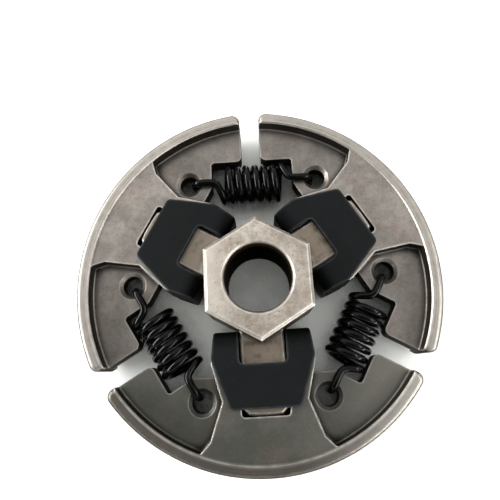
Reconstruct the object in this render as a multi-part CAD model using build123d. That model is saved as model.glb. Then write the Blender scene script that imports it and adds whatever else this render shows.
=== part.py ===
"""Three-shoe centrifugal clutch of a chainsaw.

A hexagonal hub with three arms carries three sintered shoes. Each shoe straddles
its arm with a fork and slides outwards on it until its rim meets the drum. A folded
sheet retainer clips round the fork's prongs, and a tension spring hooks each shoe to
the next.

Frame: the hub's axis is Z, the hub's back face is Z = 0 and the hexagonal face is up.
A shoe is drawn with its arm along +X, then turned to its own arm. A size called reach
is measured from the hub's axis along the arm, or along the gap between two shoes.
"""

import os
from math import cos, radians, sin, sqrt, tan

from build123d import *

# Hub and arms (mm, degrees)
ARM_ANGLES = (270, 30, 150)
HEX_FLATS = 19.0
HUB_LENGTH = 14.5
HEX_CHAMFER = 0.55
BORE_DIAMETER = 12.0
BORE_CHAMFER = 0.4
ARM_WIDTH = 7.8
ARM_REACH = 23.1
ARM_END_CHAMFER = 1.2
ARM_EDGE_CHAMFER = 0.3

# Rim: the friction face fits the drum once the shoe has moved out by the clearance
DRUM_RADIUS = 33.6
DRUM_CLEARANCE = 0.7
RIM_WALL = 2.2
RIM_EDGE_RADIUS = 0.9
RIM_INNER_CHAMFER = 0.25
RIM_END_RADIUS = 1.4
SHOE_GAP = 3.8

# Boss of the shoe: walls beside the fork slot, from the hub outwards
PRONG_WALL = 4.15
PRONG_LENGTH = 4.3
SHOULDER_WALL = 4.9
WAIST_WALL = 3.2
FOOT_WALL = 7.25
FOOT_FLARE = 1.8
FORK_CORNER_RADIUS = 0.6

# Ears of the shoe, round the spring holes
HOLE_TO_WAIST = 3.73
HOLE_TO_NOTCH = 4.4
HOLE_TO_EDGE = 4.2
NOTCH_END_ROOM = 1.6
EAR_CORNER_RADIUS = 0.8
NOTCH_CORNER_RADIUS = 0.6
WEB_END_RADIUS = 1.1

# Shoe, along the axis
SHOE_WIDTH = 10.0
WEB_THICKNESS = 4.0
BOSS_DROP = 0.3
BACK_STAND = 0.3
POCKET_RADIUS = 0.35
POCKET_CORNER_ROOM = 0.1

# Springs
WIRE_DIAMETER = 1.4
COIL_DIAMETER = 8.0
COIL_SPACE = 0.33
COIL_TURNS = 6.5
HOOK_HOLE_DIAMETER = 3.7
HOOK_HOLE_CHAMFER = 0.65
HOOK_TIP_DEPTH = 3.4
HOOK_STAND = 1.4
HOOK_BEND_RADIUS = 1.2
HOOK_SWEEP_RADIUS = 2.0
HOOK_LEAD_RADIUS = 1.6
HOOK_LEAD = 2.0

# Retainers: walls beside the fork slot, from the hub outwards
SHEET = 1.0
SHEET_BEND_RADIUS = 0.8
LEG_LENGTH = 5.6
LEG_END_WALL = 4.25
LEG_SHOULDER_WALL = 4.85
LEG_SHOULDER_LENGTH = 4.6
RETAINER_EDGE_WALL = 1.85
RETAINER_NOTCH_RADIUS = 0.9
RETAINER_CORNER_RADIUS = 1.0
LEG_SHOULDER_RADIUS = 2.5
LEG_CORNER_RADIUS = 0.5
ARM_WINDOW = 1.3

# Clearances
ARM_SIDE_CLEARANCE = 0.25
ARM_END_CLEARANCE = 0.1
ARM_FACE_CLEARANCE = 0.15
HUB_CLEARANCE = 0.3
COIL_CLEARANCE = 0.25
HOOK_CLEARANCE = 0.1
RETAINER_CLEARANCE = 0.1

# What follows along the axis
BOSS_WIDTH = SHOE_WIDTH - 2 * BOSS_DROP
ARM_THICKNESS = BOSS_WIDTH - 2 * ARM_FACE_CLEARANCE
SHOE_MIDDLE = BACK_STAND + SHEET + BOSS_WIDTH / 2
WEB_FACE = SHOE_MIDDLE + WEB_THICKNESS / 2

# What follows along the arm
HALF_SECTOR = 180 / len(ARM_ANGLES)
FORK_WIDTH = ARM_WIDTH + 2 * ARM_SIDE_CLEARANCE
FORK_END = ARM_REACH + ARM_END_CLEARANCE
HEX_SIDE_REACH = HEX_FLATS / 2 / cos(radians(30)) - FORK_WIDTH / 2 * tan(radians(30))
LEG_END = HEX_SIDE_REACH + HUB_CLEARANCE
PRONG_END = LEG_END + SHEET + RETAINER_CLEARANCE
RIM_INNER_RADIUS = DRUM_RADIUS - RIM_WALL
PRONG_HALF_WIDTH = FORK_WIDTH / 2 + PRONG_WALL
SHOULDER_HALF_WIDTH = FORK_WIDTH / 2 + SHOULDER_WALL
WAIST_HALF_WIDTH = FORK_WIDTH / 2 + WAIST_WALL
FOOT_HALF_WIDTH = FORK_WIDTH / 2 + FOOT_WALL
FOOT_REACH = sqrt(RIM_INNER_RADIUS**2 - FOOT_HALF_WIDTH**2) - DRUM_CLEARANCE

# What follows along the springs
COIL_RADIUS = (COIL_DIAMETER - WIRE_DIAMETER) / 2
COIL_PITCH = WIRE_DIAMETER + COIL_SPACE
COIL_LENGTH = COIL_TURNS * COIL_PITCH
NOTCH_OFFSET = (COIL_LENGTH + WIRE_DIAMETER) / 2 + NOTCH_END_ROOM
HOLE_OFFSET = NOTCH_OFFSET + HOLE_TO_NOTCH
HOLE_HALF_WIDTH = WAIST_HALF_WIDTH + HOLE_TO_WAIST
SPRING_REACH = (HOLE_HALF_WIDTH + HOLE_OFFSET * cos(radians(HALF_SECTOR))) / sin(radians(HALF_SECTOR))
NOTCH_REACH = SPRING_REACH + COIL_DIAMETER / 2 + COIL_CLEARANCE


def beside_gap(reach, offset, side=1):
    """Point given by its reach along the gap beside the shoe and its offset from the gap."""
    along = radians(HALF_SECTOR)
    return (
        reach * cos(along) + offset * sin(along),
        side * (reach * sin(along) - offset * cos(along)),
    )


HOLE_REACH = beside_gap(SPRING_REACH, HOLE_OFFSET)[0]
EAR_EDGE = HOLE_REACH - HOLE_TO_EDGE
WAIST_POINT = (HOLE_REACH, WAIST_HALF_WIDTH)
FLARE_POINT = (FOOT_REACH - FOOT_FLARE, FOOT_HALF_WIDTH - FOOT_FLARE)
FOOT_POINT = (FOOT_REACH, FOOT_HALF_WIDTH)


def mirrored(points):
    """Closed outline from its points on the +Y side, mirrored in the arm's line."""
    return Polygon(*points, *[(x, -y) for x, y in reversed(points)], align=None)


def slab(outline, thickness):
    """Outline extruded to both sides of the shoe's middle plane."""
    return extrude(Pos(0, 0, SHOE_MIDDLE) * outline, thickness / 2, both=True)


def drum_circle(radius):
    """Circle about the drum's axis, as the shoe sees it at rest."""
    return Pos(-DRUM_CLEARANCE, 0) * Circle(radius)


def corner(face, point):
    """The vertex of a face that lies nearest to a point."""
    return face.vertices().sort_by_distance((*point, 0))[0]


def open_slot(reach, width, corner_radius):
    """Slot from the hub's axis out to its reach, with rounded far corners."""
    slot = Pos(reach / 2, 0) * Rectangle(reach, width)
    return fillet(slot.vertices().group_by(Axis.X)[-1], corner_radius)


def circles_of(solid, radius):
    """The solid's circular edges of one radius."""
    return solid.edges().filter_by(GeomType.CIRCLE).filter_by(lambda edge: abs(edge.radius - radius) < 0.01)


def make_carrier():
    """Hexagonal hub with its bore and three arms."""
    hexagon = RegularPolygon(HEX_FLATS / 2, 6, major_radius=False, rotation=ARM_ANGLES[1])
    hub = extrude(hexagon, HUB_LENGTH)
    faces = hub.faces().sort_by(Axis.Z)
    hub = chamfer(faces[0].edges() + faces[-1].edges(), HEX_CHAMFER)

    bar = Pos(ARM_REACH / 2, 0) * Rectangle(ARM_REACH, ARM_WIDTH)
    bar = chamfer(bar.vertices().group_by(Axis.X)[-1], ARM_END_CHAMFER)
    arm = slab(bar & Circle(ARM_REACH), ARM_THICKNESS)
    faces = arm.faces().sort_by(Axis.Z)
    arm = chamfer(faces[0].edges() + faces[-1].edges(), ARM_EDGE_CHAMFER)

    carrier = hub
    for angle in ARM_ANGLES:
        carrier += Rot(0, 0, angle) * arm
    carrier -= extrude(Circle(BORE_DIAMETER / 2), HUB_LENGTH)
    return chamfer(circles_of(carrier, BORE_DIAMETER / 2), BORE_CHAMFER)


def web_outline():
    """Sector of the shoe less the spring notches and the room round the hub."""
    far = 2 * DRUM_RADIUS
    sector = mirrored([(SHOE_GAP / 2 / sin(radians(HALF_SECTOR)), 0), beside_gap(far, SHOE_GAP / 2)])
    sector = sector & drum_circle(DRUM_RADIUS)

    apex = NOTCH_OFFSET / sin(radians(HALF_SECTOR))
    ear_half_width = (EAR_EDGE - apex) * tan(radians(HALF_SECTOR))
    room = mirrored([(0, 0), (EAR_EDGE, ear_half_width)])
    for side in (1, -1):
        room += Polygon(
            (0, 0),
            beside_gap(0, NOTCH_OFFSET, side),
            beside_gap(NOTCH_REACH, NOTCH_OFFSET, side),
            beside_gap(NOTCH_REACH, 0, side),
            align=None,
        )
    web = (sector - room).face()

    for side in (1, -1):
        for point, radius in (
            ((EAR_EDGE, side * ear_half_width), EAR_CORNER_RADIUS),
            (beside_gap(NOTCH_REACH, NOTCH_OFFSET, side), NOTCH_CORNER_RADIUS),
            (beside_gap(NOTCH_REACH, SHOE_GAP / 2, side), WEB_END_RADIUS),
            (beside_gap(DRUM_RADIUS, SHOE_GAP / 2, side), RIM_END_RADIUS),
        ):
            web = fillet(corner(web, point), radius).face()
    return web


def boss_outline(inner_end):
    """Waisted boss: prongs at the hub, narrowest beside the spring holes, flared into the rim."""
    outline = mirrored(
        [
            (inner_end, PRONG_HALF_WIDTH),
            (PRONG_END, PRONG_HALF_WIDTH),
            (PRONG_END + PRONG_LENGTH, SHOULDER_HALF_WIDTH),
            WAIST_POINT,
            FLARE_POINT,
            FOOT_POINT,
            (DRUM_RADIUS, FOOT_HALF_WIDTH),
        ]
    )
    return outline & drum_circle(DRUM_RADIUS - RIM_WALL / 2)


def make_pocket():
    """Recess in the front of the web on one side of the boss, with a rounded floor edge."""
    one_side = Pos(0, DRUM_RADIUS / 2) * Rectangle(3 * DRUM_RADIUS, DRUM_RADIUS)
    outline = (drum_circle(RIM_INNER_RADIUS) & one_side) - boss_outline(-2 * DRUM_RADIUS)
    outline = outline.face()
    for point in (WAIST_POINT, FLARE_POINT, FOOT_POINT):
        outline = fillet(corner(outline, point), POCKET_RADIUS + POCKET_CORNER_ROOM).face()
    pocket = extrude(Pos(0, 0, WEB_FACE) * outline, SHOE_WIDTH)
    return fillet(pocket.faces().sort_by(Axis.Z)[0].edges(), POCKET_RADIUS)


def make_shoe():
    """Rim, web, boss and ears in one piece, the same on both faces."""
    shoe = slab(web_outline() + boss_outline(PRONG_END), SHOE_WIDTH)

    # The boss stands a little lower than the rim, and the pockets go down to the web.
    # The rim's inner edge is broken by a flared mouth.
    boss_face = SHOE_MIDDLE + BOSS_WIDTH / 2
    rim_break = SHOE_MIDDLE + SHOE_WIDTH / 2 - RIM_INNER_CHAMFER
    inside = drum_circle(RIM_INNER_RADIUS)
    front = extrude(Pos(0, 0, boss_face) * inside, SHOE_WIDTH)
    front += extrude(Pos(0, 0, rim_break) * inside, 2 * RIM_INNER_CHAMFER, taper=-45)
    pocket = make_pocket()
    front += pocket
    front += mirror(pocket, Plane.XZ)
    shoe -= front
    shoe -= mirror(front, Plane.XY.offset(SHOE_MIDDLE))

    # The friction face has rounded edges.
    shoe = fillet(circles_of(shoe, DRUM_RADIUS), RIM_EDGE_RADIUS)

    # The prong ends are rounded like the retainer's bends.
    prong_ends = shoe.edges().filter_by(Axis.Y).group_by(Axis.X)[0]
    shoe = fillet(prong_ends, SHEET_BEND_RADIUS)

    shoe -= slab(open_slot(FORK_END, FORK_WIDTH, FORK_CORNER_RADIUS), SHOE_WIDTH)

    # Each ear has a hole for a spring hook, countersunk on both faces.
    for side in (1, -1):
        x, y = beside_gap(SPRING_REACH, HOLE_OFFSET, side)
        shoe -= Pos(x, y) * slab(Circle(HOOK_HOLE_DIAMETER / 2), WEB_THICKNESS)
    return chamfer(circles_of(shoe, HOOK_HOLE_DIAMETER / 2), HOOK_HOLE_CHAMFER)


def make_spring():
    """Tension spring along X about its own middle, with +Y away from the hub."""
    start = Plane((-COIL_LENGTH / 2, 0, 0), x_dir=(0, -1, 0), z_dir=(1, 0, 0))
    coil = start * Helix(COIL_PITCH, COIL_LENGTH, COIL_RADIUS)
    entry = coil @ 0
    lead = entry - (coil % 0) * HOOK_LEAD

    # The hook turns off beyond the coil, runs over the web to the hole and dips into it.
    wire_radius = WIRE_DIAMETER / 2
    run_height = WEB_THICKNESS / 2 + HOOK_CLEARANCE + wire_radius
    hook_offset = HOLE_OFFSET - HOOK_HOLE_DIAMETER / 2 + HOOK_CLEARANCE + wire_radius
    turn_offset = COIL_LENGTH / 2 + HOOK_STAND
    tip = (-hook_offset, 0, WEB_THICKNESS / 2 - HOOK_TIP_DEPTH)
    hook = FilletPolyline(
        tip,
        (-hook_offset, 0, run_height),
        (-turn_offset, 0, run_height),
        lead,
        entry,
        radius=[HOOK_BEND_RADIUS, HOOK_SWEEP_RADIUS, HOOK_LEAD_RADIUS],
    )
    path = Wire([*hook.edges(), *coil.edges(), *(Rot(0, 0, 180) * hook).edges()])
    section = Plane(tip, z_dir=(0, 0, 1)) * Circle(wire_radius)
    return sweep(section, path=path)


def make_retainer():
    """Folded saddle: two plates joined by a bend round the end of each prong."""
    outside = BOSS_WIDTH + 2 * SHEET

    def channel(end, height, bend):
        """Solid that a sheet bent round the prongs would wrap."""
        profile = Pos((end + FORK_END) / 2, SHOE_MIDDLE) * Rectangle(FORK_END - end, height)
        profile = fillet(profile.vertices().group_by(Axis.X)[0], bend)
        return extrude(Plane.XZ * profile, SHOULDER_HALF_WIDTH, both=True)

    folded = channel(LEG_END, outside, SHEET_BEND_RADIUS + SHEET)
    folded -= channel(LEG_END + SHEET, BOSS_WIDTH, SHEET_BEND_RADIUS)

    leg_corner = (LEG_END, FORK_WIDTH / 2 + LEG_END_WALL)
    shoulder = (LEG_END + LEG_SHOULDER_LENGTH, FORK_WIDTH / 2 + LEG_SHOULDER_WALL)
    edge_corner = (FORK_END - ARM_WINDOW, FORK_WIDTH / 2 + RETAINER_EDGE_WALL)
    plan = mirrored([leg_corner, shoulder, edge_corner])
    for (x, y), radius in (
        (leg_corner, LEG_CORNER_RADIUS),
        (shoulder, LEG_SHOULDER_RADIUS),
        (edge_corner, RETAINER_CORNER_RADIUS),
    ):
        for side in (1, -1):
            plan = fillet(corner(plan, (x, side * y)), radius).face()
    plan -= open_slot(LEG_END + LEG_LENGTH, FORK_WIDTH, RETAINER_NOTCH_RADIUS)
    return folded & slab(plan, outside)


os.makedirs("parts", exist_ok=True)
shoe = make_shoe()
retainer = make_retainer()
spring = Pos(0, SPRING_REACH, SHOE_MIDDLE) * make_spring()

export_step(make_carrier(), "parts/carrier.step")
for number, angle in enumerate(ARM_ANGLES, 1):
    turn = Rot(0, 0, angle)
    export_step(turn * shoe, f"parts/clutch_shoe_{number}.step")
    export_step(turn * retainer, f"parts/retainer_{number}.step")
    export_step(Rot(0, 0, angle + HALF_SECTOR - 90) * spring, f"parts/tension_spring_{number}.step")
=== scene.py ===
# %% [markdown]
# # A chainsaw clutch
# Three sintered shoes sit on the arms of a hexagonal hub. A folded black sheet holds each shoe on
# its arm, and three black springs pull the shoes together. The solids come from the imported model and
# stay where they are. This lesson gives them their finishes, winds the springs as real wire and
# lights the clutch as it lies on a white table.

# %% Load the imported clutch
import math

import bpy
from mathutils import Matrix, Vector


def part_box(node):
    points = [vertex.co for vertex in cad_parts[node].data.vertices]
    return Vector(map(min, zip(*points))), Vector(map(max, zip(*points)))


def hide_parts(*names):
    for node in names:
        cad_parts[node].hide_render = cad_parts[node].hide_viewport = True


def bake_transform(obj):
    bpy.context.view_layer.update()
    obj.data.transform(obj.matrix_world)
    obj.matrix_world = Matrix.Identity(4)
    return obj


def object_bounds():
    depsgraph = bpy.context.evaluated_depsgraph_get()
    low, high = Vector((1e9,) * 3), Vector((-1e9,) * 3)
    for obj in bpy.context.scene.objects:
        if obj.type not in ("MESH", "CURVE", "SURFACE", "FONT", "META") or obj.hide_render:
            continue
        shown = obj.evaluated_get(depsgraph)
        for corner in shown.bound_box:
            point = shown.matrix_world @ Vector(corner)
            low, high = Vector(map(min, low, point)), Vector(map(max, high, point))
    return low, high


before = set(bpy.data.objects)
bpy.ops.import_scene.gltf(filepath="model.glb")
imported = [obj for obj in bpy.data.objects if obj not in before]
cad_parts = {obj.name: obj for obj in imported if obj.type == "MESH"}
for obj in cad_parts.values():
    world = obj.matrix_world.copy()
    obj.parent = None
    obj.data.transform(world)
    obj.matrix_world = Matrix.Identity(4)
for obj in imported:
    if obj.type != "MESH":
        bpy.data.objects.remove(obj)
cad_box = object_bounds()
bpy.ops.object.select_all(action="DESELECT")
bpy.context.scene.view_settings.view_transform = "Standard"

MM = 0.001
SHOES = (1, 2, 3)
print("clutch over all, mm:", [round(side / MM, 1) for side in cad_box[1] - cad_box[0]])

# %% [markdown]
# ## Camera
# The photograph is taken from close by, a hand's width above the clutch and a little towards its
# lower edge, so the near shoe looks larger. A long lens from far away would flatten that, so the
# camera gets the near place and the lens that go with it. The picture is cut a little off the lens's
# axis, which the shift repeats.

# %% Camera over the clutch
CAMERA_PLACE_MM = (0.26, -15.77, 105.72)
CAMERA_TURN_DEG = (15.84, 1.59, -3.21)
LENS_MM = 38.22
SENSOR_MM = 36
FRAME_SHIFT = -0.06
NEAREST_SEEN = 5 * MM

bpy.ops.object.camera_add(
    location=[MM * place for place in CAMERA_PLACE_MM],
    rotation=[math.radians(turn) for turn in CAMERA_TURN_DEG],
)
camera = bpy.context.object
camera.name = "camera_over_clutch"
camera.data.lens = LENS_MM
camera.data.sensor_width = SENSOR_MM
camera.data.shift_y = FRAME_SHIFT
camera.data.clip_start = NEAREST_SEEN
bpy.context.scene.camera = camera
print("camera stands", CAMERA_PLACE_MM[2], "mm above the table")


# %% [markdown]
# ## Shader maths
# Steel, sheet and wire are all mixed from a few noises. Written as nodes, such sums are hard to
# read, so an output of a node is wrapped in a small class: plus, minus and times on it add the Math
# nodes.

# %% A node's output with Python's operators
class Signal:
    """One output of a shader node. Sums on it add Math nodes."""

    def __init__(self, finish, socket):
        self.finish = finish
        self.socket = socket

    def maths(self, operation, first, second):
        return self.finish.add("ShaderNodeMath", {"operation": operation}, {0: first, 1: second})

    def __add__(self, other):
        return self.maths("ADD", self, other)

    def __radd__(self, other):
        return self.maths("ADD", other, self)

    def __sub__(self, other):
        return self.maths("SUBTRACT", self, other)

    def __rsub__(self, other):
        return self.maths("SUBTRACT", other, self)

    def __mul__(self, other):
        return self.maths("MULTIPLY", self, other)

    def __rmul__(self, other):
        return self.maths("MULTIPLY", other, self)

    def __abs__(self):
        return self.maths("ABSOLUTE", self, 0)


# %% A finish under construction
class Finish:
    """A node tree, with one method that adds any node and a few that use it."""

    def __init__(self, tree):
        self.tree = tree

    def add(self, kind, settings=None, inputs=None, output=0):
        node = self.tree.nodes.new(kind)
        for name, value in (settings or {}).items():
            setattr(node, name, value)
        for name, value in (inputs or {}).items():
            self.feed(node.inputs[name], value)
        return Signal(self, node.outputs[output])

    def feed(self, socket, value):
        if isinstance(value, Signal):
            self.tree.links.new(value.socket, socket)
        else:
            socket.default_value = value

    def place(self):
        """Place on the clutch in millimetres."""
        metres = self.add("ShaderNodeTexCoord", output="Object")
        settings = {"operation": "SCALE"}
        return self.add("ShaderNodeVectorMath", settings, {0: metres, "Scale": 1 / MM})

    def axis(self, vector, name):
        """One axis of a vector."""
        return self.add("ShaderNodeSeparateXYZ", {}, {0: vector}, output=name)

    def flat(self, vector):
        """A vector without its height."""
        settings = {"operation": "MULTIPLY"}
        return self.add("ShaderNodeVectorMath", settings, {0: vector, 1: (1, 1, 0)})

    def noise(self, place, size, detail):
        """Soft blotches of about a size in millimetres, from 0 to 1."""
        inputs = {"Vector": place, "Scale": 1 / size, "Detail": detail}
        return self.add("ShaderNodeTexNoise", {}, inputs)

    def step(self, value, low, high):
        """0 below low, 1 above high, and smooth between them."""
        settings = {"interpolation_type": "SMOOTHSTEP"}
        inputs = {"Value": value, "From Min": low, "From Max": high}
        return self.add("ShaderNodeMapRange", settings, inputs)

    def spots(self, place, size, detail, low, high):
        """A mask of blotches with clear edges. The higher low is, the fewer there are."""
        return self.step(self.noise(place, size, detail), low, high)

    def mix(self, share, first, second):
        """The first colour where share is 0 and the second where it is 1."""
        inputs = {0: share, 6: first, 7: second}
        return self.add("ShaderNodeMix", {"data_type": "RGBA"}, inputs, output=2)


def new_finish(name):
    """A material with its principled shader, ready to be fed."""
    material = bpy.data.materials.new(name)
    material.use_nodes = True
    finish = Finish(material.node_tree)
    return material, finish, material.node_tree.nodes["Principled BSDF"].inputs


def tone(red, green, blue):
    """A colour as it is picked from a picture, 0 to 255, made linear."""
    def linear(level):
        level = level / 255
        return level / 12.92 if level <= 0.04045 else ((level + 0.055) / 1.055) ** 2.4
    return (linear(red), linear(green), linear(blue), 1)


print("a mid grey of 128 is", round(tone(128, 128, 128)[0], 3), "in linear light")

# %% [markdown]
# ## Table and light
# The clutch lies on a white table in a bright room. A plain even sky would make all three shoes
# alike, so the sky has one dark round part over the picture's lower edge. The nearest shoe mirrors
# it and looks darker than the other two. The sky is dimmer towards the right, and three long windows
# put sharp lights on edges and wire. The table's rim rises far away all round, so that low views also
# end in white. Little light comes into narrow gaps and holes: ambient occlusion finds them, and the
# table goes from white through grey to black there.

# %% White table
TABLE_RADIUS = 1.4
TABLE_SIDES = 96
TABLE_GAP = 0.02 * MM
WALL_HEIGHT = 0.7
WALL_LEAN = 0.3

bpy.ops.mesh.primitive_circle_add(vertices=TABLE_SIDES, radius=TABLE_RADIUS, fill_type="NGON")
table = bpy.context.object
table.name = "white_table"
bpy.ops.object.mode_set(mode="EDIT")
bpy.ops.mesh.select_all(action="SELECT")
bpy.ops.mesh.extrude_region_move(TRANSFORM_OT_translate={"value": (0, 0, WALL_HEIGHT)})
bpy.ops.transform.resize(value=(1 + WALL_LEAN, 1 + WALL_LEAN, 1))
bpy.ops.mesh.delete(type="ONLY_FACE")
bpy.ops.object.mode_set(mode="OBJECT")
table.location.z = cad_box[0].z - TABLE_GAP
bpy.ops.object.transform_apply()
print("table:", len(table.data.polygons), "faces")

# %% Table finish
BLACK = (0, 0, 0, 1)
TABLE_WHITE = (0.95, 0.95, 0.95, 1)
TABLE_GLOW = (0.43, 0.45, 0.41, 1)
WALL_GLOW = (0.65, 0.65, 0.65, 1)
WALL_FOOT_MM = (1.0, 5.0)
OPEN_REACH = 30 * MM
OPEN_SAMPLES = 16
REACHED_SHARES = (0.045, 0.12)
GLOW_RISE = 1.9
GLOW_LOSS = 0.04

material, table_finish, shader = new_finish("table_white")
shader["Roughness"].default_value = 0.9
shader["Specular IOR Level"].default_value = 0
shader["Emission Strength"].default_value = 1
seen = table_finish.add("ShaderNodeLightPath", output="Is Camera Ray")
mirrored = table_finish.add("ShaderNodeLightPath", output="Is Glossy Ray")
through = table_finish.add("ShaderNodeLightPath", output="Is Transmission Ray")
shown = seen + mirrored + through
settings = {"samples": OPEN_SAMPLES}
inputs = {"Distance": OPEN_REACH}
open_share = table_finish.add("ShaderNodeAmbientOcclusion", settings, inputs, output="AO")
reached = table_finish.step(open_share, *REACHED_SHARES)
table_finish.feed(shader["Base Color"], table_finish.mix(reached, BLACK, TABLE_WHITE))

glow_share = reached * (GLOW_RISE * open_share - GLOW_LOSS) * shown
glow = table_finish.mix(glow_share, BLACK, TABLE_GLOW)
height = table_finish.axis(table_finish.place(), "Z")
on_wall = table_finish.step(height, *WALL_FOOT_MM)
backdrop = table_finish.mix(shown * on_wall, glow, WALL_GLOW)
table_finish.feed(shader["Emission Color"], backdrop)
table.data.materials.append(material)
print("table glow for the camera:", TABLE_GLOW[1])

# %% Sky
SKY_BRIGHT = 0.9
SKY_DARK = 0.05
SKY_FALL = 0.45
DARK_SIDE = (-0.2, -0.42, 0)
DARK_FADE = (0.36, 0.76)

world = bpy.data.worlds.new("studio")
bpy.context.scene.world = world
world.use_nodes = True
sky = Finish(world.node_tree)
direction = sky.add("ShaderNodeTexCoord", output="Generated")
settings = {"operation": "DISTANCE"}
inputs = {0: sky.flat(direction), 1: DARK_SIDE}
away = sky.add("ShaderNodeVectorMath", settings, inputs, output="Value")
bright_sky = SKY_BRIGHT - SKY_FALL * sky.axis(direction, "X")
brightness = SKY_DARK + bright_sky * sky.step(away, *DARK_FADE)
background = world.node_tree.nodes["Background"].inputs
background["Color"].default_value = (1, 1, 1, 1)
sky.feed(background["Strength"], brightness)
print("sky from", SKY_DARK, "to", SKY_BRIGHT)


# %% Windows
def window(name, place, width, height, power):
    """A wide lamp that faces the clutch."""
    bpy.ops.object.light_add(type="AREA", location=place)
    lamp = bpy.context.object
    lamp.name = name
    lamp.data.shape = "RECTANGLE"
    lamp.data.size = width
    lamp.data.size_y = height
    lamp.data.energy = power
    lamp.rotation_euler = Vector(place).to_track_quat("Z", "Y").to_euler()
    print(name, "is", width, "m wide")


window("window_left", (-0.55, 0.1, 0.22), width=0.6, height=0.12, power=4.2)
window("window_right", (0.5, -0.06, 0.42), width=0.5, height=0.1, power=1.3)
window("window_behind", (0.48, -0.4, 0.16), width=0.5, height=0.08, power=1.6)

# %% [markdown]
# ## Sintered steel
# Shoes and hub are pressed from powder and tumbled. Tumbling rubs the edges bright in patches, and the
# edges are lighter still as a painted highlight. Flats are a warm grey with fine grain. Corners are
# darkened for dirt and as painted shade, and pockets and upright walls as painted shade. Painting this
# by hand would take a map for each piece, so the masks come from the shape itself. Ambient occlusion
# from inside finds the edges, ambient occlusion from outside finds the corners, and the height over
# the web finds the pockets. A bevel in the shader rounds the light on the edges without a change to
# the solid.

# %% Masks from the shape
MASK_SAMPLES = 8
EDGE_DEPTH = 2.2
EDGE_SHARES = (0.8, 0.97)
EDGE_PATCH = 1.5
CORNER_REACH = 2.2
CORNER_SHARES = (0.5, 0.85)
WALL_FADE = 0.4


def open_within(finish, reach, inside=False):
    """How open a surface is within a reach in millimetres, seen from outside or from inside."""
    settings = {"inside": inside, "only_local": True, "samples": MASK_SAMPLES}
    inputs = {"Distance": reach * MM}
    return finish.add("ShaderNodeAmbientOcclusion", settings, inputs, output="AO")


def worn_and_lit_edges(finish, place, width):
    """The normal over rounded edges, and a patchy mask that rises to 1 on edges that stand out, for
    wear and a painted highlight.
    """
    rounded = finish.add("ShaderNodeBevel", {"samples": MASK_SAMPLES}, {"Radius": width * MM})
    inside = open_within(finish, EDGE_DEPTH * width, inside=True)
    patches = finish.spots(place, EDGE_PATCH, 3.0, 0.35, 0.6)
    return rounded, (1 - finish.step(inside, *EDGE_SHARES)) * (0.5 + 0.5 * patches)


def corner_dirt_and_shade(finish):
    """A mask that rises towards 1 in corners, for dirt and painted shade."""
    return 1 - finish.step(open_within(finish, CORNER_REACH), *CORNER_SHARES)


def steep_walls(finish, level):
    """A mask that is 1 on upright walls and 0 on faces more level than a share."""
    upward = finish.axis(finish.add("ShaderNodeTexCoord", output="Normal"), "Z")
    return 1 - finish.step(abs(upward), level - WALL_FADE, level)


def reach_of(finish, place):
    """Distance from the hub's axis."""
    settings = {"operation": "LENGTH"}
    return finish.add("ShaderNodeVectorMath", settings, {0: finish.flat(place)}, output="Value")


print("corners are dark within", CORNER_REACH, "mm")

# %% Grain of pressed powder
WARM_TINT = tone(160, 130, 122)
COOL_TINT = tone(116, 120, 100)
MOTTLE_TINT = tone(92, 88, 82)
GRAIN_TINT = tone(70, 66, 60)
GRAIN_SIZE = 0.34
GRAIN_DEPTH = 0.04 * MM


def powder_grain(finish, place, dull, bright):
    """Cloudy grey with faint tints, dark grain and bright specks, and the grain for the bump."""
    grain = finish.noise(place, GRAIN_SIZE, 3.0)
    grey = finish.mix(finish.spots(place, 5.0, 4.0, 0.3, 0.7), dull, bright)
    warm = finish.mix(0.35 * finish.spots(place, 3.1, 3.0, 0.5, 0.75), grey, WARM_TINT)
    cool = finish.mix(0.3 * finish.spots(place, 2.3, 3.0, 0.5, 0.75), warm, COOL_TINT)
    mottled = finish.mix(0.25 * finish.spots(place, 1.1, 3.0, 0.35, 0.8), cool, MOTTLE_TINT)
    grainy = finish.mix(0.3 * finish.step(grain, 0.4, 0.8), mottled, GRAIN_TINT)
    specked = finish.mix(0.3 * finish.spots(place, 0.55, 2.0, 0.55, 0.75), grainy, bright)
    return specked, grain


def finish_steel(finish, shader, colour, rough, metal, grain, rounded):
    """Colour, gloss and fine bump of a powder steel."""
    inputs = {"Strength": 0.5, "Distance": GRAIN_DEPTH, "Height": grain, "Normal": rounded}
    finish.feed(shader["Base Color"], colour)
    finish.feed(shader["Roughness"], rough)
    finish.feed(shader["Metallic"], metal)
    finish.feed(shader["Normal"], finish.add("ShaderNodeBump", {}, inputs))


print("grain of about", GRAIN_SIZE, "mm")

# %% [markdown]
# ## Shoe steel
# On the shoes the rim is ground in fine rings and rubbed lighter. Its outer side is brown from the
# drum and the friction face browner still, and both are painted darker towards the side as painted
# shade, so the friction face is darkest. The lower shoe is given darker tones as painted shade, and
# its right end is painted lighter as painted light. One function makes both steels, because they
# differ only in their tones. Steel that is seen from the side would mirror the white table, so a dark
# tint holds that back.

# %% Shoe finish
SHOE_MIDDLE = 6.0
RIM_INSIDE = 30.9
LIT_END_STRETCH = (4.0, 26.0)
SHOE_EDGE = 0.16
EDGE_TINT = (0.25, 0.23, 0.2, 1)
LIT_END_STEEL = tone(172, 166, 158)
RIM_STEEL = tone(216, 210, 200)
RIM_BROWN_AND_SHADE = tone(68, 58, 54)
RING_GREY = tone(88, 82, 72)
POCKET_SHADE = tone(96, 95, 89)
FRICTION_BROWN_AND_SHADE = tone(52, 46, 39)
SHOE_WALL_SHADE = tone(30, 30, 27)
SHOE_CORNER_DIRT_AND_SHADE = tone(18, 18, 16)
SHOE_WEAR_AND_HIGHLIGHT = tone(240, 235, 226)


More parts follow.
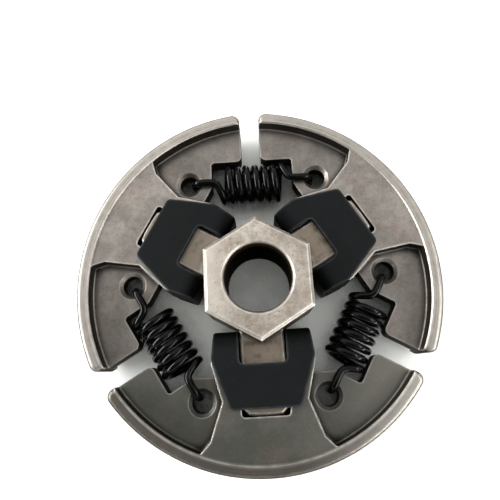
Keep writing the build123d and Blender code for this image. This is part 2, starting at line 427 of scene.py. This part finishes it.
def grinding_rings(finish, place, reach, height):
    """A mask of fine rings round the rim, broken up along their length."""
    across = finish.add("ShaderNodeCombineXYZ", {}, {"X": reach, "Y": 0, "Z": height})
    rings = finish.spots(across, 0.3, 2.0, 0.4, 0.7)
    return rings * finish.spots(place, 1.4, 3.0, 0.3, 0.7)


def shoe_finish(name, dull, bright, rim_light, rim_brown_and_shade, lit_end_share):
    """Powder steel with a ground rim, painted shade in pockets, on walls and on the rim's side, and
    dirt and painted shade in corners.
    """
    material, finish, shader = new_finish(name)
    place = finish.place()
    powder, grain = powder_grain(finish, place, dull, bright)
    # The lower shoe's right end is painted lighter as painted light.
    lit_end = lit_end_share * finish.step(finish.axis(place, "X"), *LIT_END_STRETCH)
    grey = finish.mix(0.6 * lit_end, powder, LIT_END_STEEL)
    rounded, edges = worn_and_lit_edges(finish, place, SHOE_EDGE)
    corners = corner_dirt_and_shade(finish)
    steep = steep_walls(finish, 0.65)
    side = steep_walls(finish, 0.99)
    reach = reach_of(finish, place)
    height = finish.axis(place, "Z")
    on_rim = finish.step(reach, RIM_INSIDE, RIM_INSIDE + 0.4)
    outer = finish.step(reach, RIM_INSIDE + 0.1, RIM_INSIDE + 0.6)
    recess = 1 - finish.step(abs(height - SHOE_MIDDLE), 2.4, 4.0)
    rings = grinding_rings(finish, place, reach, height)

    rim = finish.mix((rim_light + 0.3 * lit_end) * on_rim, grey, RIM_STEEL)
    # The rim's outer side is brown, and darker towards the outside as painted shade.
    brown_and_shaded = finish.mix(rim_brown_and_shade * outer * (1 - lit_end), rim, RIM_BROWN_AND_SHADE)
    ground = finish.mix(0.45 * on_rim * rings, brown_and_shaded, RING_GREY)
    # Pocket floors are darkened as painted shade.
    pocket = finish.mix(0.28 * recess * (1 - on_rim), ground, POCKET_SHADE)
    # The friction face is brown, darkened as painted shade where the rim turns down.
    friction_and_shade = finish.mix(0.9 * side * on_rim, pocket, FRICTION_BROWN_AND_SHADE)
    # Upright walls are darkened as painted shade.
    walls = finish.mix(0.85 * steep * (1 - on_rim), friction_and_shade, SHOE_WALL_SHADE)
    # Corners are darkened for dirt and as painted shade.
    dirty_and_shaded = finish.mix(0.95 * corners, walls, SHOE_CORNER_DIRT_AND_SHADE)
    # Edges are lightened for wear and as a painted highlight.
    wear_and_highlight = edges * (0.65 + 0.15 * on_rim) * (1 - 0.65 * recess)
    colour = finish.mix(wear_and_highlight, dirty_and_shaded, SHOE_WEAR_AND_HIGHLIGHT)
    rough = 0.32 + 0.16 * grain + 0.4 * corners + 0.15 * edges * on_rim
    metal = 0.85 - 0.7 * corners + 0.15 * side * on_rim
    finish_steel(finish, shader, colour, rough, metal, grain, rounded)
    shader["Specular Tint"].default_value = EDGE_TINT
    print(name, "uses", len(finish.tree.nodes), "nodes")
    return material


shoe_steel = shoe_finish(
    "shoe_steel", dull=tone(152, 145, 138), bright=tone(180, 172, 164),
    rim_light=0.55, rim_brown_and_shade=0.06, lit_end_share=0.0,
)
# The lower shoe is a shaded copy: its darker tones and browner rim are painted shade.
shoe_steel_shaded = shoe_finish(
    "shoe_steel_shaded", dull=tone(110, 111, 103), bright=tone(126, 126, 118),
    rim_light=0.3, rim_brown_and_shade=0.6, lit_end_share=1.0,
)

# %% [markdown]
# ## Hub steel
# The hub is the same steel in a lighter tone, and its left flat is painted lighter still as painted
# light. Its face has small open pores, its arms are brown and painted darker as painted shade, and
# its bore is painted black as painted shade from a little below the mouth. The solid is one piece,
# so the distance from its axis tells arms, hexagon and bore apart.

# %% Hub finish
HEX_CORNER = 11.0
BORE_RADIUS = 6.0
BORE_MOUTH = 14.0
BORE_SHADE_DEPTH = 4.5
PORES_PER_MM = 1.25
LIT_LEFT_STRETCH = (-9.0, -4.0)
HUB_EDGE = 0.2
HUB_DULL = tone(206, 194, 180)
HUB_BRIGHT = tone(236, 226, 212)
STAIN_BROWN = tone(150, 130, 112)
LEFT_LIT_STEEL = tone(250, 240, 226)
PORE_DARK = tone(70, 62, 54)
ARM_BROWN_AND_SHADE = tone(142, 129, 113)
ARM_STAIN_AND_SHADE = tone(104, 92, 78)
HUB_WALL_SHADE = tone(84, 77, 68)
HUB_CORNER_DIRT_AND_SHADE = tone(30, 27, 23)
HUB_WEAR_AND_HIGHLIGHT = tone(252, 249, 242)
BORE_SHADE = tone(6, 6, 5)
BORE_STEEL = tone(112, 102, 90)


def open_pores(finish, place):
    """A mask with small round pores, close in some places and none in others."""
    inputs = {"Vector": place, "Scale": PORES_PER_MM}
    away = finish.add("ShaderNodeTexVoronoi", {"feature": "F1"}, inputs, output="Distance")
    crowded = finish.spots(place, 2.4, 2.0, 0.42, 0.6)
    return crowded * (1 - finish.step(away, 0.1, 0.26))


def hub_finish(name):
    """Light powder steel with pores and brown arms, with painted light on its left flat and painted
    shade on arms, walls and deep in the bore.
    """
    material, finish, shader = new_finish(name)
    place = finish.place()
    grey, grain = powder_grain(finish, place, HUB_DULL, HUB_BRIGHT)
    rounded, edges = worn_and_lit_edges(finish, place, HUB_EDGE)
    corners = corner_dirt_and_shade(finish)
    reach = reach_of(finish, place)
    on_arm = finish.step(reach, HEX_CORNER - 0.6, HEX_CORNER + 0.2)
    in_bore = 1 - finish.step(reach, BORE_RADIUS + 0.02, BORE_RADIUS + 0.3)
    near_mouth = finish.step(finish.axis(place, "Z"), BORE_MOUTH - BORE_SHADE_DEPTH, BORE_MOUTH)
    lit_left = 1 - finish.step(finish.axis(place, "X"), *LIT_LEFT_STRETCH)
    stains = finish.spots(place, 1.7, 4.0, 0.48, 0.72)

    stained = finish.mix(0.4 * stains, grey, STAIN_BROWN)
    # The left flat is painted lighter as painted light.
    lighter = finish.mix(0.6 * lit_left, stained, LEFT_LIT_STEEL)
    pored = finish.mix(0.55 * open_pores(finish, place), lighter, PORE_DARK)
    # The arms are brown, darkened further as painted shade under the retainers.
    brown = finish.mix(stains, ARM_BROWN_AND_SHADE, ARM_STAIN_AND_SHADE)
    arms = finish.mix(0.85 * on_arm, pored, brown)
    # Upright walls are darkened as painted shade.
    walls = finish.mix(0.75 * steep_walls(finish, 0.95), arms, HUB_WALL_SHADE)
    # Corners are darkened for dirt and as painted shade.
    dirty_and_shaded = finish.mix(0.85 * corners, walls, HUB_CORNER_DIRT_AND_SHADE)
    # Edges are lightened for wear and as a painted highlight.
    wear_and_highlight = finish.mix(edges, dirty_and_shaded, HUB_WEAR_AND_HIGHLIGHT)
    # Deep in the bore the steel is painted black as painted shade.
    bore = finish.mix(near_mouth, BORE_SHADE, BORE_STEEL)
    colour = finish.mix(in_bore, wear_and_highlight, bore)
    rough = 0.32 + 0.18 * grain
    metal = 0.85 + 0.15 * in_bore
    finish_steel(finish, shader, colour, rough, metal, grain, rounded)
    shader["Specular Tint"].default_value = EDGE_TINT
    print(name, "uses", len(finish.tree.nodes), "nodes")
    return material


hub_steel = hub_finish("hub_steel")

# %% [markdown]
# ## Blackened sheet
# The retainers are folded from sheet and blackened to a matte blue black. At the folds next to the hub
# the sheet goes from blue black to black as painted shade, and its steep sides are painted near black
# as painted shade too. A plain dark colour would still shine at the folds, so they also turn to black
# metal, which mirrors almost nothing. Slightly lighter edges, for wear and a painted highlight, and a
# few pale specks keep the sheet from looking like paint.

# %% Sheet finish
ARM_TURNS_DEG = (-90, 30, 150)
FOLD_END = 8.9
FOLD_FADE = 3.4
SHEET_EDGE = 0.18
SHEET_GLOSS = 0.18
SPECK_SIZE = 0.3
SPECK_DEPTH = 0.03 * MM
SHEET_DULL = tone(8, 11, 12)
SHEET_BRIGHT = tone(16, 20, 21)
FOLD_SHADE = tone(3, 3, 3)
SHEET_SIDE_SHADE = tone(4, 4, 4)
SHEET_SPECK = tone(96, 102, 104)
SHEET_WEAR_AND_HIGHLIGHT = tone(110, 114, 114)


def along_arm(finish, place):
    """Distance from the hub's axis along the nearest arm."""
    farthest = None
    for turn in ARM_TURNS_DEG:
        arm = (math.cos(math.radians(turn)), math.sin(math.radians(turn)), 0)
        settings = {"operation": "DOT_PRODUCT"}
        along = finish.add("ShaderNodeVectorMath", settings, {0: place, 1: arm}, output="Value")
        farthest = along.maths("MAXIMUM", along, farthest) if farthest else along
    return farthest


def blackened_sheet(name):
    """Matte blue black with painted shade at the folds and sides, pale specks, and edges lighter from
    wear and a painted highlight.
    """
    material, finish, shader = new_finish(name)
    place = finish.place()
    clouds = finish.noise(place, 3.0, 3.0)
    specks = finish.noise(place, SPECK_SIZE, 1.0)
    rounded, edges = worn_and_lit_edges(finish, place, SHEET_EDGE)
    fold = 1 - finish.step(along_arm(finish, place), FOLD_END, FOLD_END + FOLD_FADE)
    black = finish.mix(clouds, SHEET_DULL, SHEET_BRIGHT)
    # The folds next to the hub are painted black as painted shade.
    fold_shaded = finish.mix(0.9 * fold, black, FOLD_SHADE)
    # Steep sides are painted near black as painted shade.
    sides_shaded = finish.mix(0.8 * steep_walls(finish, 0.98), fold_shaded, SHEET_SIDE_SHADE)
    specked = finish.mix(0.3 * finish.step(specks, 0.72, 0.8), sides_shaded, SHEET_SPECK)
    # Edges are lightened for wear and as a painted highlight.
    colour = finish.mix(0.2 * edges, specked, SHEET_WEAR_AND_HIGHLIGHT)
    bump = {"Strength": 0.3, "Distance": SPECK_DEPTH, "Height": specks, "Normal": rounded}
    finish.feed(shader["Base Color"], colour)
    finish.feed(shader["Roughness"], 0.55 + 0.15 * clouds)
    finish.feed(shader["Metallic"], 0.8 * fold)
    finish.feed(shader["Normal"], finish.add("ShaderNodeBump", {}, bump))
    shader["Specular IOR Level"].default_value = SHEET_GLOSS
    print(name, "uses", len(finish.tree.nodes), "nodes")
    return material


retainer_sheet = blackened_sheet("retainer_sheet")

# %% [markdown]
# ## Black spring wire
# The springs are dipped in a glossy black that shows sharp lights on every turn. As metal they would
# mirror the whole room and look grey, so the wire is a smooth black coat that mirrors little apart
# from the windows.

# %% Wire finish
WIRE_GLOSS = 0.2
WIRE_DULL = tone(3, 3, 4)
WIRE_BRIGHT = tone(10, 10, 11)


def glossy_wire(name):
    """Deep black with a sharp gloss that wanders a little."""
    material, finish, shader = new_finish(name)
    streaks = finish.noise(finish.place(), 1.2, 2.0)
    finish.feed(shader["Base Color"], finish.mix(streaks, WIRE_DULL, WIRE_BRIGHT))
    finish.feed(shader["Roughness"], 0.07 + 0.1 * streaks)
    shader["Specular IOR Level"].default_value = WIRE_GLOSS
    print(name, "uses", len(finish.tree.nodes), "nodes")
    return material


spring_wire = glossy_wire("spring_wire")

# %% [markdown]
# ## Dress the solids
# Hub, shoes and retainers already have their true shape, so each keeps its solid and only changes
# its material.


# %% Materials on the solids
def dress(node, material):
    """A solid in its finish."""
    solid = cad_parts[node]
    solid.data.materials.clear()
    solid.data.materials.append(material)
    print(node, "is", material.name)


dress("carrier", hub_steel)
dress("clutch_shoe_1", shoe_steel_shaded)
dress("clutch_shoe_2", shoe_steel)
dress("clutch_shoe_3", shoe_steel)
for number in SHOES:
    dress(f"retainer_{number}", retainer_sheet)

# %% [markdown]
# ## Springs
# A spring is one wire: a close coil between two hooks. A screw modifier could wind the coil but not
# the hooks, so a curve with a round section follows the whole wire, as a bender would. The coil is
# worked out turn by turn, and the hook has a point at each bend from the coil over the shoe's edge and
# down into its hole. When a shoe moves out, its hook must go along while the coil's middle stays, so
# each spring is cut in two halves, each from the coil's middle to one hook.

# %% Spring sizes
spring_low, spring_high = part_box("tension_spring_2")
MEASURED_SPRING = 2
SPRING_MIDDLE = (spring_low + spring_high) / 2
COIL_DIAMETER = spring_high.z - spring_low.z
HOOK_SPAN = spring_high.x - spring_low.x
WIRE = 1.4 * MM
PITCH = 1.73 * MM
TURNS = 6.5
HOOK_STAND = 1.4 * MM
RUN_HEIGHT = 2.8 * MM
TIP_HEIGHT = -1.4 * MM
HOOK_LEAD = 2.0 * MM
POINTS_PER_TURN = 16

coil_radius = (COIL_DIAMETER - WIRE) / 2
coil_end = TURNS * PITCH / 2
print("coil", round(COIL_DIAMETER / MM, 2), "mm wide,", round(2 * coil_end / MM, 2), "mm long")


# %% Route of the wire
def hook_points():
    """From the tip in the hole over the shoe's edge to the coil, with a point between bends."""
    hook_offset = (HOOK_SPAN - WIRE) / 2
    tip = Vector((-hook_offset, 0, TIP_HEIGHT))
    over_hole = Vector((-hook_offset, 0, RUN_HEIGHT))
    turn_off = Vector((-coil_end - HOOK_STAND, 0, RUN_HEIGHT))
    lead = Vector((-coil_end, -coil_radius, HOOK_LEAD))
    points = [tip]
    for bend in (over_hole, turn_off, lead):
        points.append((points[-1] + bend) / 2)
        points.append(bend)
    return points


def coil_points():
    """The coil's turns. A smooth curve cuts inside its points, so they stand further out."""
    count = int(TURNS * POINTS_PER_TURN)
    wide = coil_radius * 6 / (4 + 2 * math.cos(2 * math.pi / POINTS_PER_TURN))
    points = []
    for index in range(count + 1):
        turn = 2 * math.pi * index / POINTS_PER_TURN
        along = -coil_end + PITCH * index / POINTS_PER_TURN
        points.append(Vector((along, -wide * math.cos(turn), -wide * math.sin(turn))))
    return points


half_turn = Matrix.Rotation(math.pi, 3, "Z")
far_hook = [half_turn @ point for point in reversed(hook_points())]
route = hook_points() + coil_points() + far_hook
print("wire route of", len(route), "points")

# %% Bend the wire
STEPS_PER_POINT = 3
ROUND_STEPS = 3

curve = bpy.data.curves.new("spring_wire_route", "CURVE")
curve.dimensions = "3D"
spline = curve.splines.new("NURBS")
spline.points.add(len(route) - 1)
for control, point in zip(spline.points, route):
    control.co = (*point, 1)
spline.order_u = 4
spline.use_endpoint_u = True
spline.resolution_u = STEPS_PER_POINT
curve.bevel_depth = WIRE / 2
curve.bevel_resolution = ROUND_STEPS
curve.use_fill_caps = True
wire = bpy.data.objects.new("half_spring", curve)
bpy.context.scene.collection.objects.link(wire)
bpy.context.view_layer.objects.active = wire
wire.select_set(True)
bpy.ops.object.convert(target="MESH")
half_spring = bpy.context.object
print("whole wire:", len(half_spring.data.polygons), "faces")

# %% Cut the wire in the middle
WELD = 0.001 * MM
SMOOTH_DEG = 40

bpy.ops.object.mode_set(mode="EDIT")
bpy.ops.mesh.select_all(action="SELECT")
bpy.ops.mesh.remove_doubles(threshold=WELD)
bpy.ops.mesh.bisect(plane_co=(0, 0, 0), plane_no=(1, 0, 0), use_fill=True, clear_outer=True)
bpy.ops.mesh.select_all(action="SELECT")
bpy.ops.mesh.normals_make_consistent(inside=False)
bpy.ops.object.mode_set(mode="OBJECT")
bpy.ops.object.shade_smooth_by_angle(angle=math.radians(SMOOTH_DEG))
half_spring.data.materials.append(spring_wire)
print("half spring:", len(half_spring.data.polygons), "faces")

# %% Six halves in their places
GAP_STEP_DEG = 120


def place_half(number, shoe, turn, name):
    """A half spring from the coil's middle to its hook in one shoe."""
    gap_angle = math.radians(GAP_STEP_DEG * (number - MEASURED_SPRING))
    spin = Matrix.Rotation(gap_angle, 4, "Z") @ Matrix.Translation(SPRING_MIDDLE)
    spin = spin @ Matrix.Rotation(turn, 4, "Z")
    half = half_spring.copy()
    half.data = half_spring.data.copy()
    half.name = name
    half.data.transform(spin)
    bpy.context.scene.collection.objects.link(half)
    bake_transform(half)
    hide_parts(f"tension_spring_{number}")
    print(name, "hooks shoe", shoe)


for number in SHOES:
    place_half(number, number % 3 + 1, 0, f"spring_{number}_next_half")
    place_half(number, number, math.pi, f"spring_{number}_own_half")
bpy.data.objects.remove(half_spring)
